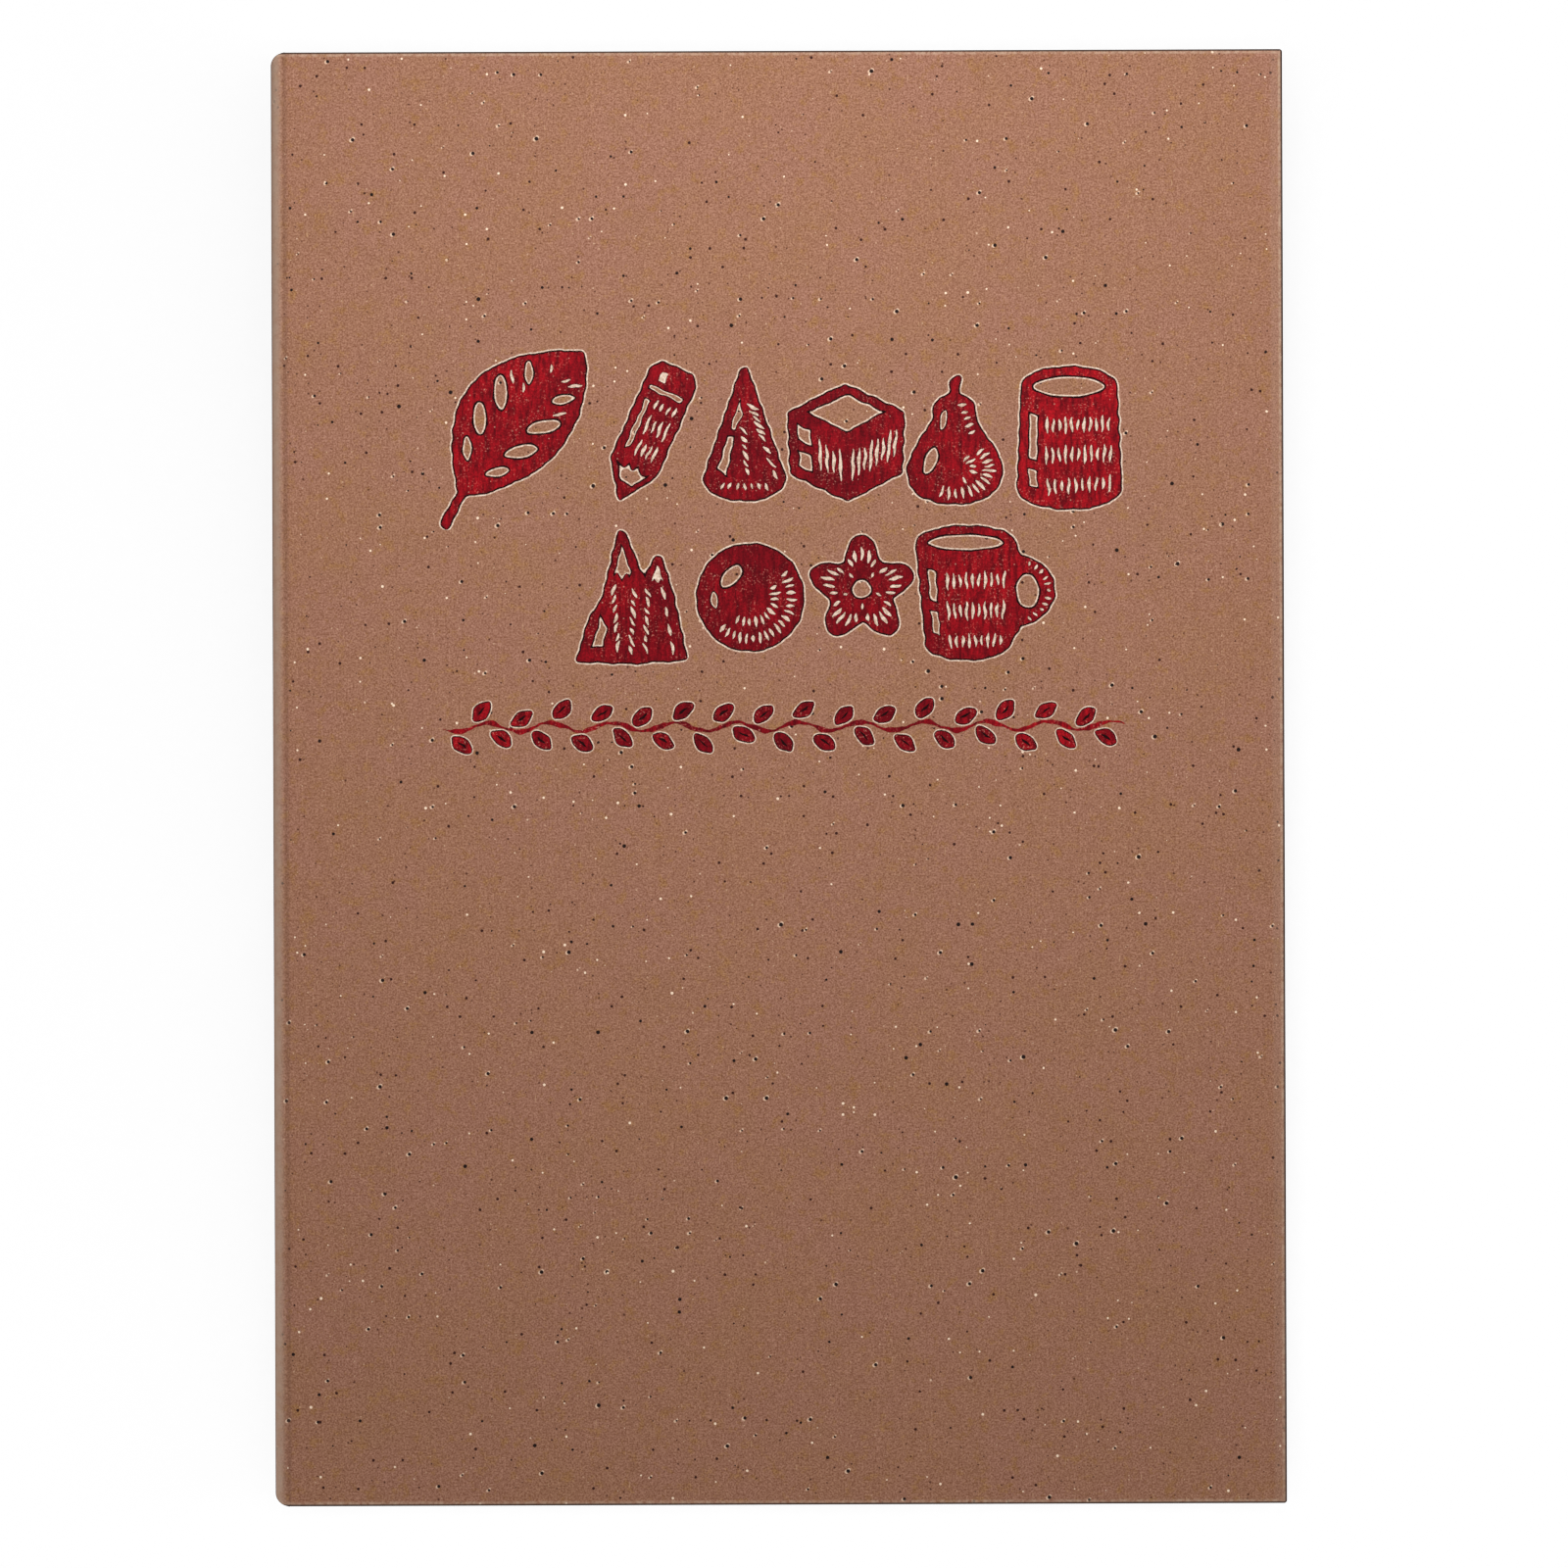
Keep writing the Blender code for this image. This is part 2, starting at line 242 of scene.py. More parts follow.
class Paint:
    """Adds the nodes of one material, with lengths in millimetres and linear colours."""

    def __init__(self, name, moving=True):
        self.material = bpy.data.materials.new(name)
        self.material.use_nodes = True
        self.tree = self.material.node_tree
        if moving:
            place = self.add("Attribute", {}, attribute_name="rest_place")["Vector"]
        else:
            place = self.add("TexCoord", {})["Object"]
        self.place = self.mapped((1 / MM, 1 / MM, 1 / MM), vector=place)

    def add(self, kind, inputs, **settings):
        return add_node(self.tree, kind, inputs, **settings)

    def mapped(self, scale, turn=0.0, move=(0, 0, 0), vector=None):
        """The place in a pattern that is scaled, turned about Z and moved."""
        inputs = {"Vector": vector or self.place, "Location": move, "Scale": scale}
        inputs["Rotation"] = (0, 0, radians(turn))
        return self.add("Mapping", inputs)["Vector"]

    def math(self, operation, first, second=0.0):
        return self.add("Math", {0: first, 1: second}, operation=operation)[0]

    def times(self, first, second):
        return self.math("MULTIPLY", first, second)

    def noise(self, scale, detail=3.0, roughness=0.5, vector=None):
        inputs = {"Vector": vector or self.place, "Scale": scale, "Detail": detail, "Roughness": roughness}
        return self.add("TexNoise", inputs)["Fac"]

    def cells(self, scale, vector=None):
        """Distance to the nearest of many scattered points, and that point's random colour."""
        outputs = self.add("TexVoronoi", {"Vector": vector or self.place, "Scale": scale})
        return outputs["Distance"], outputs["Color"]

    def ranged(self, value, low, high, to_low=0.0, to_high=1.0, smooth=False):
        inputs = {"Value": value, "From Min": low, "From Max": high, "To Min": to_low, "To Max": to_high}
        return self.add("MapRange", inputs, interpolation_type="SMOOTHSTEP" if smooth else "LINEAR")["Result"]

    def varied(self, to_low, to_high, *noise):
        """A noise whose usual low and high are brought to two values."""
        return self.ranged(self.noise(*noise), 0.3, 0.7, to_low, to_high)

    def mix(self, factor, first, second, blend="MIX"):
        return self.add("Mix", {0: factor, 6: first, 7: second}, data_type="RGBA", blend_type=blend)[2]

    def shaded(self, colour, tone):
        return self.mix(1.0, colour, tone, "MULTIPLY")

    def over(self, colour, mask, amount, tint):
        """A colour with some of a tint laid over it inside a mask."""
        return self.mix(self.times(mask, amount), colour, tint)

    def axis(self, index):
        return self.add("SeparateXYZ", {0: self.place})[index]

    def split(self, colour, channel):
        return self.add("SeparateColor", {0: colour})[channel]

    def speck_mask(self, scale, size, share, channel=0, vector=None):
        """1 inside round specks, which a share of the scattered points have."""
        distance, colour = self.cells(scale, vector)
        chosen = self.math("LESS_THAN", self.split(colour, channel), share)
        radius = self.times(self.split(colour, (channel + 1) % 3), size)
        soft = self.ranged(self.math("SUBTRACT", radius, distance), 0.0, size * 0.15)
        return self.times(soft, chosen)

    def bump(self, height, distance, strength=1.0, **after):
        inputs = {"Distance": distance, "Strength": strength, "Height": height, **after}
        return self.add("Bump", inputs)["Normal"]

    def finish(self, colour, roughness, specular=0.5, **others):
        inputs = {"Base Color": colour, "Roughness": roughness, "Specular IOR Level": specular, **others}
        wire(self.tree, self.tree.nodes["Principled BSDF"], inputs)
        return self.material


# ---- materials


def kraft_pulp(paint):
    """Clouded brown pulp with a crisp grain."""
    warm, pink = (0.311, 0.1435, 0.0845), (0.313, 0.1430, 0.0925)
    dull, ochre = (0.297, 0.141, 0.077), (0.306, 0.1415, 0.0560)
    colour = paint.mix(paint.ranged(paint.noise(0.05, 3), 0.40, 0.60), warm, pink)
    colour = paint.mix(paint.ranged(paint.noise(0.12, 2, 0.5), 0.52, 0.70, 0, 0.5), colour, dull)
    colour = paint.mix(paint.ranged(paint.noise(0.30, 4, 0.7), 0.53, 0.66, 0, 0.9), colour, ochre)

    clouds = paint.varied(0.965, 1.035, 0.9, 4, 0.65)
    grain = paint.varied(0.945, 1.055, 1.0, 3, 0.6, paint.mapped((2.6, 0.12, 2.6)))
    fine = paint.varied(0.64, 1.36, 2.9, 1, 0.5)
    flecks = paint.ranged(paint.split(paint.cells(3.3)[1], 0), 0, 1, 0.86, 1.14)
    tone = paint.times(paint.times(clouds, grain), paint.times(fine, flecks))
    dark, pale = (0.595, 0.45, 0.33), (1.405, 1.55, 1.67)
    return paint.shaded(colour, paint.mix(paint.ranged(tone, 0.5, 1.5), dark, pale))


def with_specks(paint, colour):
    """Long fibres and round specks, some with pale glints beside them."""
    for turn, scale, size, amount, tint in (
        (32, (0.9, 0.12, 0.9), 0.10, 0.5, (0.56, 0.34, 0.20)),
        (-41, (0.8, 0.14, 0.8), 0.09, 0.45, (0.13, 0.050, 0.024)),
    ):
        fibres = paint.speck_mask(1.0, size, 0.7, 0, paint.mapped(scale, turn))
        colour = paint.over(colour, fibres, amount, tint)

    beside = paint.mapped((1, 1, 1), move=(0.30, 0.12, 0.05))
    above = paint.mapped((1, 1, 1), move=(-0.16, -0.28, 0.05))
    glint = (0.80, 0.56, 0.40)
    for scale, size, share, channel, place, amount, tint in (
        (0.36, 0.18, 0.40, 0, beside, 0.8, glint),
        (0.36, 0.15, 0.25, 0, above, 0.8, glint),
        (0.36, 0.17, 0.70, 0, paint.place, 1.0, (0.010, 0.002, 0.001)),
        (0.50, 0.17, 0.28, 1, paint.place, 1.0, (0.040, 0.008, 0.004)),
        (0.80, 0.22, 0.22, 2, paint.place, 0.85, (0.070, 0.018, 0.008)),
        (0.45, 0.15, 0.30, 2, paint.place, 0.95, (0.95, 0.74, 0.55)),
        (0.95, 0.18, 0.25, 0, beside, 0.7, (0.62, 0.40, 0.26)),
    ):
        specks = paint.speck_mask(scale, size, share, channel, place)
        colour = paint.over(colour, specks, amount, tint)
    return colour


def with_edge_tones_and_shade(paint, colour):
    """A paler shoulder, painted shade in the groove, paler edges, and a dark line of painted shade along the
    outer edges, where the paper turns over.
    """
    shoulder_pale, groove_shade, pressed = (0.39, 0.27, 0.20), (0.12, 0.055, 0.035), (0.36, 0.23, 0.17)
    edge_pale, edge_shade_dark = (0.50, 0.34, 0.24), (0.035, 0.020, 0.016)
    across, along = paint.axis(0), paint.math("ABSOLUTE", paint.axis(1))
    # paler and greyer, unevenly, on the rounded shoulder
    shoulder = paint.ranged(across, SPINE_X / MM + 1.1, SPINE_X / MM + 3.0, 1, 0, smooth=True)
    colour = paint.over(colour, shoulder, paint.ranged(paint.noise(0.5, 4, 0.6), 0.3, 0.6, 0.45, 0.8), shoulder_pale)
    # painted shade: the groove at the board's spine edge is darkened
    from_crease = paint.math("ABSOLUTE", paint.math("SUBTRACT", across, BOARD_X / MM - 0.1))
    colour = paint.mix(paint.ranged(from_crease, 0.1, 0.8, 0.30, 0.0, smooth=True), colour, groove_shade)

    from_fore = paint.math("SUBTRACT", FORE_X / MM, across)
    from_edge = paint.math("MINIMUM", from_fore, paint.math("SUBTRACT", CASE_Y / MM, along))
    # paler and greyer within 2 mm of the fore edge, fading out by 3 mm
    colour = paint.mix(paint.ranged(from_fore, 2.0, 3.0, 0.22, 0.0, smooth=True), colour, pressed)
    # paler, unevenly, within about 1 mm of the outer edges
    rim = paint.ranged(from_edge, 0.7, 1.1, 1, 0, smooth=True)
    colour = paint.over(colour, rim, paint.ranged(paint.noise(0.9, 4, 0.7), 0.40, 0.62, 0.10, 0.75), edge_pale)

    half = MID_Z / MM
    from_middle = paint.math("ABSOLUTE", paint.math("SUBTRACT", paint.axis(2), half))
    near_face = paint.ranged(from_middle, half - 0.60, half - 0.30, 0, 1, smooth=True)
    # painted shade: a dark line along the outermost edges, near the faces
    outermost = paint.ranged(from_edge, 0.26, 0.50, 0.9, 0, smooth=True)
    return paint.over(colour, outermost, near_face, edge_shade_dark)


def kraft_material():
    """Unbleached kraft paper."""
    paint = Paint("kraft_paper")
    colour = with_edge_tones_and_shade(paint, with_specks(paint, kraft_pulp(paint)))
    normal = paint.bump(paint.noise(0.25, 2, 0.5), 0.12 * MM, 0.4)
    normal = paint.bump(paint.noise(3.0, 2, 0.6), 0.03 * MM, 0.7, Normal=normal)
    return paint.finish(colour, 0.78, 0.2, Normal=normal)


def paper_material(name, pale, dull, tooth_scale):
    """Uncoated paper with a soft tooth and faint fibres."""
    paint = Paint(name)
    colour = paint.mix(paint.varied(0, 1, 0.05, 3), pale, dull)
    tooth = paint.noise(tooth_scale, 4, 0.65)
    colour = paint.shaded(colour, paint.ranged(tooth, 0.3, 0.7, 0.955, 1.03))
    fibres = paint.speck_mask(1.0, 0.08, 0.5, 0, paint.mapped((0.8, 0.14, 0.8), 28))
    colour = paint.over(colour, fibres, 0.3, (0.55, 0.50, 0.40))
    normal = paint.bump(paint.noise(0.12, 2), 0.15 * MM, 0.35)
    normal = paint.bump(tooth, 0.03 * MM, 0.7, Normal=normal)
    return paint.finish(colour, paint.ranged(tooth, 0.3, 0.7, 0.78, 0.92), 0.3, Normal=normal)


def foil_material():
    """Red stamping foil: a soft metallic film that took unevenly on the paper's tooth, with a painted
    reflection that brightens it towards both ends of the rows.
    """
    paint = Paint("red_foil")
    deep, reflected_bright_red = (0.165, 0.002, 0.007), (0.400, 0.005, 0.011)
    smeared, showing_paper = (0.085, 0.001, 0.004), (0.50, 0.23, 0.17)
    # painted reflection: the foil is brighter towards both ends of the rows than in the middle
    ends = paint.ranged(paint.math("ABSOLUTE", paint.axis(0)), 10, 70, 0.0, 1.0, smooth=True)
    drift = paint.ranged(paint.noise(0.09, 3), 0.35, 0.65)
    colour = paint.mix(paint.math("ADD", paint.times(ends, 0.55), paint.times(drift, 0.45)), deep, reflected_bright_red)
    smear = paint.noise(1.0, 4, 0.6, paint.mapped((1.1, 0.25, 1.1), -12))
    colour = paint.mix(paint.ranged(smear, 0.40, 0.62, 0, 0.85), colour, smeared)
    colour = paint.shaded(colour, paint.varied(0.50, 1.45, 2.2, 3, 0.7))

    zone = paint.ranged(paint.noise(0.25, 3, 0.6), 0.48, 0.60)
    missed = paint.ranged(paint.noise(2.2, 3, 0.7), 0.58, 0.64)
    pinholes = paint.speck_mask(0.9, 0.17, 0.5)
    bare = paint.math("MAXIMUM", paint.times(zone, missed), pinholes)
    colour = paint.over(colour, bare, 0.75, showing_paper)
    metallic = paint.ranged(bare, 0.2, 0.8, 0.30, 0.0)
    normal = paint.bump(paint.noise(2.0, 2, 0.7), 0.03 * MM, 0.6)
    return paint.finish(colour, paint.varied(0.50, 0.68, 1.8, 2, 0.7), 0.08, Normal=normal, Metallic=metallic)


def foil_edge_shade_material():
    """The foil's edge, where it bends down into the paper: a dark film of painted shade."""
    paint = Paint("foil_edge")
    tone = paint.ranged(paint.noise(1.6, 3, 0.7), 0.35, 0.65)
    return paint.finish(paint.mix(tone, (0.003, 0.001, 0.001), (0.022, 0.003, 0.004)), 0.7, 0.05)


def pressed_edge_highlight_material():
    """Paper pressed by the edge of the stamping die, with a painted highlight that makes it paler than the
    rest.
    """
    paint = Paint("pressed_edge")
    tone = paint.ranged(paint.noise(1.4, 4, 0.7), 0.40, 0.60)
    normal = paint.bump(paint.noise(1.9, 3, 0.7), 0.03 * MM, 0.6)
    return paint.finish(paint.mix(tone, (0.48, 0.31, 0.22), (0.82, 0.66, 0.53)), 0.6, 0.3, Normal=normal)


def greyboard_material():
    """Binder's board pressed from grey waste pulp, in thin plies."""
    paint = Paint("greyboard", moving=False)
    colour = paint.mix(paint.varied(0, 1, 0.35, 4), (0.25, 0.235, 0.21), (0.36, 0.34, 0.30))
    colour = paint.shaded(colour, paint.varied(0.8, 1.15, 1.0, 3, 0.6, paint.mapped((0.25, 0.25, 5.0))))
    colour = paint.over(colour, paint.speck_mask(0.8, 0.2, 0.5), 0.7, (0.09, 0.08, 0.07))
    return paint.finish(colour, 0.92, Normal=paint.bump(paint.noise(2.0, 4, 0.7), 0.05 * MM, 0.8))


def card_material():
    """Thin grey-brown card of the spine's inlay."""
    paint = Paint("spine_card", moving=False)
    colour = paint.mix(paint.varied(0, 1, 0.6, 4), (0.50, 0.46, 0.39), (0.60, 0.56, 0.49))
    return paint.finish(colour, 0.9, Normal=paint.bump(paint.noise(2.4, 4, 0.6), 0.03 * MM, 0.7))


def gauze_material():
    """Open plain-weave cotton gauze, stiff with glue."""
    paint = Paint("gauze", moving=False)
    pitch = 0.9
    lines = []
    for index in (1, 2):
        wave = paint.math("SINE", paint.times(paint.axis(index), 2 * pi / pitch))
        lines.append(paint.ranged(wave, 0.0, 0.8, smooth=True))
    weave = paint.math("MAXIMUM", *lines)
    colour = paint.mix(weave, (0.38, 0.33, 0.25), (0.80, 0.77, 0.69))
    return paint.finish(colour, 0.9, Normal=paint.bump(weave, 0.08 * MM, 0.8))


def thread_material(name, moving):
    """Waxed cotton thread with a slanted twist."""
    paint = Paint(name, moving)
    pitch, slope = 0.55, 1.4
    slant = paint.math("ADD", paint.axis(1), paint.times(paint.axis(0), slope))
    twist = paint.math("SINE", paint.times(slant, 2 * pi / pitch))
    colour = paint.mix(paint.ranged(twist, -1, 1), (0.70, 0.67, 0.60), (0.93, 0.92, 0.87))
    return paint.finish(colour, 0.6, Normal=paint.bump(twist, 0.04 * MM, 0.8))


def floor_material():
    paint = Paint("floor", moving=False)
    return paint.finish(paint.mix(paint.noise(0.01, 2), (0.80, 0.80, 0.80), (0.84, 0.84, 0.84)), 0.6)


# ---- kraft case


def plan_half_height(x):
    """Half the case's height at a place near the spine, where its corners are round."""
    corner_x = SPINE_X + SPINE_CORNER_X
    if x >= corner_x:
        return CASE_Y
    reach = min(1.0, (corner_x - x) / SPINE_CORNER_X)
    return CASE_Y - SPINE_CORNER_Y + SPINE_CORNER_Y * sqrt(1 - reach * reach)


def shoulder_profile():
    """From the board to the middle of the spine: the groove, the shoulder, and the spine's flat."""
    profile = [(x, FOIL_ROOM) for x in spread(BOARD_X, SPINE_X + SHOULDER_RADIUS, 4)[1:]]
    rounded = arc((SPINE_X + SHOULDER_RADIUS, SHOULDER_RADIUS), SHOULDER_RADIUS, 270, 180, 32)
    profile += [(x, max(z, FOIL_ROOM)) for x, z in rounded[1:]]
    profile += [(SPINE_X, z) for z in spread(SHOULDER_RADIUS, MID_Z - SPINE_MIDDLE, 4)[1:]]
    sunk = []
    for x, z in profile:
        away = abs(x - (BOARD_X - GROOVE_HALF_WIDTH)) / GROOVE_HALF_WIDTH
        dip = GROOVE_DEPTH * cos(away * pi / 2) ** 2 if away < 1 else 0.0
        sunk.append((x, z + dip))
    return sunk


def board_paper(reach):
    """The paper over one board, turned in at three edges and open at the spine."""
    form = bmesh.new()
    bmesh.ops.create_cube(form, size=1.0)
    low = Vector((BOARD_X, -CASE_Y, FOIL_ROOM))
    high = Vector((FORE_X, CASE_Y, TURN_IN_HIGH))
    for vertex in form.verts:
        vertex.co = Vector([(a + b) / 2 + c * (b - a) for a, b, c in zip(low, high, vertex.co)])
    spine_face = min(form.faces, key=lambda face: face.calc_center_median().x)
    bmesh.ops.delete(form, geom=[spine_face], context="FACES_ONLY")
    folds = [edge for edge in form.edges if len(edge.link_faces) == 2]
    bmesh.ops.bevel(form, geom=folds, offset=EDGE_ROUND, segments=EDGE_SEGMENTS, profile=0.5, affect="EDGES")

    rows = [reach * share for share in ROW_SHARES] + [TURN_IN - CASE_Y, CASE_Y - TURN_IN]
    planes = [((0, y, 0), (0, 1, 0)) for y in rows] + [((FORE_X - TURN_IN, 0, 0), (1, 0, 0))]
    for place, direction in planes:
        everything = form.verts[:] + form.edges[:] + form.faces[:]
        bmesh.ops.bisect_plane(form, geom=everything, plane_co=place, plane_no=direction, dist=TOUCHING)
    window = []
    for face in form.faces:
        middle = face.calc_center_median()
        inside = middle.x < FORE_X - TURN_IN and abs(middle.y) < CASE_Y - TURN_IN
        if inside and middle.z > TURN_IN_HIGH - 0.001 * MM:
            window.append(face)
    bmesh.ops.delete(form, geom=window, context="FACES")
    return form


def kraft_half(name, front, material):
    """The cover paper over one board, and its run over the joint onto the spine."""
    reach = CASE_Y - EDGE_ROUND
    form = board_paper(reach)
    corner = BOARD_X, FOIL_ROOM
    at_spine = [v for v in form.verts if dist((v.co.x, v.co.z), corner) < TOUCHING]
    columns = [sorted(at_spine, key=lambda vertex: vertex.co.y)]
    shares = [vertex.co.y / reach for vertex in columns[0]]
    for x, z in shoulder_profile():
        half_height = plan_half_height(x)
        columns.append([form.verts.new((x, share * half_height, z)) for share in shares])
    grid_faces(form, columns)

    for vertex in form.verts:
        vertex.co.z = side_z(vertex.co.z, front)
    face_outwards(form, (0, 0, 1 if front else -1))
    piece = make_piece(name, form, material, KRAFT_THICKNESS)
    shade(piece.data, 40)
    return piece, shares


def kraft_spine_middle(shares, material):
    """The strip of spine paper at the middle of the spine, where the book opens."""
    form = bmesh.new()
    half_height = plan_half_height(SPINE_X)
    columns = []
    for z in spread(MID_Z - SPINE_MIDDLE, MID_Z + SPINE_MIDDLE, 24):
        columns.append([form.verts.new((SPINE_X, share * half_height, z)) for share in shares])
    grid_faces(form, columns)
    face_outwards(form, (-1, 0, 0))
    piece = make_piece("spine_paper_middle", form, material, KRAFT_THICKNESS)
    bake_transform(piece)


def add_case(material):
    for side, front, half, cover in SIDES:
        piece, shares = kraft_half("kraft_wrap_" + side, front, material)
        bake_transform(piece)
        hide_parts(side + "_cover_paper", "spine_paper_front" if front else "spine_paper_rear")
    kraft_spine_middle(shares, material)


# ---- leaves and endpapers


def folded_outline(x_fold, x_fore, z_low, z_high):
    """The outline in X and Z of a sheet folded once: two leaves and a round fold."""
    radius = (z_high - z_low) / 2
    centre = (x_fold + radius, (z_low + z_high) / 2)
    outline = [(x_fore, z_low)] + arc(centre, radius, 270, 90, 8)
    outline += [(x_fore, z_high), (x_fore, z_high - SHEET_THICKNESS)]
    return outline + arc(centre, radius - SHEET_THICKNESS, 90, 270, 8) + [(x_fore, z_low + SHEET_THICKNESS)]


def add_sections(material):
    """The folded sheets of each section, nested, with the small scatter of a trimmed block."""
    chance = random.Random(TRIM_SEED)
    for number in range(1, 9):
        node = f"section_{number}"
        low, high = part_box(node)[0].z - SECTION_SWELL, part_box(node)[1].z + SECTION_SWELL
        step = (high - low) / (2 * SHEETS_PER_SECTION)
        sheets = []
        for index in range(SHEETS_PER_SECTION):
            fore, tail, head = [chance.uniform(0, TRIM_SCATTER) for _ in range(3)]
            inset = index * step
            outline = folded_outline(FOLD_X + inset, LEAF_FORE_X - fore, low + inset, high - inset)
            sheets.append((outline, tail - LEAF_Y, LEAF_Y - head))
        piece = extruded_piece(f"leaves_of_section_{number}", sheets, material)
        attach(piece, "front_half" if number < 5 else "rear_half")
        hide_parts(node)


def leaf_xs():
    """Places along a leaf, close together near the gutter."""
    bend_end = FOLD_X + LEAF_BEND
    return spread(FOLD_X, bend_end, 16) + spread(bend_end, LEAF_FORE_X, 6)[1:]


def add_sheet(name, upper, lower, half_height, front, material, slot):
    """A sheet from its upper and lower lines in X and Z, as they lie in the rear half."""
    outline = [(x, side_z(z, front)) for x, z in upper + lower[::-1]]
    return extruded_piece(name, [(outline, -half_height, half_height)], material)


def add_centre_leaves(material):
    """The leaves of the centre section. The innermost one runs on into the gutter."""
    for side, front, half in (("rear", False, "rear_half"), ("front", True, "front_half")):
        for number in (1, 2, 3):
            body = f"centre_leaf_{side}_{number}"
            top_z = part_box(f"centre_leaf_rear_{number}")[1].z + CENTRE_SHEET_RISE
            gutter = []
            if number == 1:
                top_z = MID_Z - SLIT_HIGH
                gutter = spread(SLIT_X, FOLD_X - 0.01 * MM, 4)
            upper = [(x, top_z) for x in gutter + leaf_xs()]
            lower = [(x, MID_Z - SLIT_LOW) for x in gutter]
            lower += [(x, top_z - CENTRE_SHEET_THICKNESS) for x in leaf_xs()]
            name = f"sheet_{side}_{number}"
            piece = add_sheet(name, upper, lower, LEAF_Y, front, material, "drawing_paper")
            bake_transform(piece)
            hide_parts(body)


def add_centre_fold(material):
    """The fold that joins the two halves of the innermost sheet."""
    centre = (SLIT_X, MID_Z)
    outline = arc(centre, SLIT_LOW, 270, 90, 16) + arc(centre, SLIT_HIGH, 90, 270, 16)
    piece = extruded_piece("centre_fold", [(outline, -LEAF_Y, LEAF_Y)], material)
    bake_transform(piece)


def add_centre_stitches(material):
    """Long sewing stitches, pressed flat in the gutter of the centre sheet."""
    stitch, pitch = 27 * MM, 38 * MM
    half_width, half_height = 0.17 * MM, 0.03 * MM
    x, z = SLIT_X + 0.28 * MM, MID_Z - 0.005 * MM
    outline = [(x + half_width * c, z + half_height * s) for c, s in arc((0, 0), 1, 0, 360, 10)[:-1]]
    stitches = [(outline, index * pitch - stitch / 2, index * pitch + stitch / 2) for index in range(-3, 4)]
    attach(extruded_piece("centre_stitches", stitches, material), "rear_half")


def add_endpapers(material):
    """Each pastedown with its hinge across the joint, and its flyleaf."""
    hinge_end = BOARD_X + 0.4 * MM
    fold_z, inner_z, outer_z = FLYLEAF_LOW - PASTE_GAP, PASTEDOWN_HIGH - PASTE_GAP, TURN_IN_HIGH + 0.03 * MM
    inner, outer = [], []
    for x in spread(FOLD_X, hinge_end, 18) + spread(hinge_end, PASTEDOWN_FORE_X, 4)[1:]:
        share = min(1.0, (x - FOLD_X) / (BOARD_X - FOLD_X))
        inner.append((x, fold_z + (inner_z - fold_z) * share))
        outer.append((x, fold_z - SHEET_THICKNESS + (outer_z - fold_z + SHEET_THICKNESS) * share))
    fly_z = FLYLEAF_LOW + 0.01 * MM
    fly_faces = [[(x, z) for x in leaf_xs()] for z in (fly_z, fly_z + SHEET_THICKNESS)]
    for side, front, half, cover in SIDES:
        piece = add_sheet(side + "_endpaper", inner, outer, PASTEDOWN_Y, front, material, "endpaper")
        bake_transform(piece)
        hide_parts(side + "_pastedown")

        body = side + "_flyleaf"
        leaf = add_sheet(side + "_fly_sheet", *fly_faces, LEAF_Y, front, material, "endpaper")
        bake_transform(leaf)
        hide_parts(body)


# ---- foil drawings, in millimetres about each drawing's own centre

STEP_MM = 0.4
WOBBLE_MM = 0.12
HATCH_MM = 0.6  # the usual width of a hatch stroke
WINDOW_GAP_MM = 0.28
LEAF_GAP_MM = 0.55
DARK_RIM_MM = 0.32
PRESSED_RIM_MM = 0.62
HATCH_RIM_MM = 0.11
NARROW_WINDOW_MM = 1.0  # hatch strokes are narrower than this, and windows wider
WINDOW_RIM_SHARE = 0.30  # of a window's width, the most that its rim takes up
LEAFLET_RIM_SHARE = 0.8  # of a drawing's rim, the rim of a leaf of the garland
CLEAR_SHARE = 0.9  # a moved place nearer to the old outline than this share of the move lies in a fold
WIDEST_SHARE = 1.2  # a pointed window's widest place over its mean width
GARLAND_REACH_MM, GARLAND_PERIOD_MM, GARLAND_SWAY_MM, GARLAND_LEAVES = 71.0, 13.0, 0.9, 33
RULE_CENTRE, RULE_SEED = (1.2, 10.7), 5
FILM_LOW = THICKNESS - FOIL_ROOM - 0.03 * MM  # all films start in the paper, and rise by different amounts
FOIL_TOP, DARK_TOP, PRESSED_TOP = 0.006 * MM, 0.016 * MM, 0.027 * MM


def runs(loop):
    """Each point of a closed outline with the one after it."""
    return list(zip(loop, loop[1:] + loop[:1]))


def between(start, end, t):
    return start[0] + (end[0] - start[0]) * t, start[1] + (end[1] - start[1]) * t


def dense(points):
    """A closed outline of straight runs, cut into short steps."""
    loop = []
    for start, end in runs(points):
        steps = max(1, round(dist(start, end) / STEP_MM))
        loop += [between(start, end, step / steps) for step in range(steps)]
    return loop


def smooth_loop(points, per_span=5):
    """A smooth closed curve through the points."""
    count, curve = len(points), []
    for index in range(count):
        before, start = points[index - 1], points[index]
        end, after = points[(index + 1) % count], points[(index + 2) % count]
        for step in range(per_span):
            t = step / per_span
            place = []
            for a, b, c, d in zip(before, start, end, after):
                bend = 2 * b + (c - a) * t + (2 * a - 5 * b + 4 * c - d) * t * t
                place.append((bend + (3 * b - a - 3 * c + d) * t ** 3) / 2)
            curve.append(tuple(place))
    return dense(curve)


def turned(points, angle, centre=(0, 0)):
    c, s = cos(radians(angle)), sin(radians(angle))
    return [(centre[0] + x * c - y * s, centre[1] + x * s + y * c) for x, y in points]


def oval_arc(x, y, half_width, half_height, start=0, end=360, steps=24):
    return [(x + half_width * u, y + half_height * v) for u, v in arc((0, 0), 1, start, end, steps)]


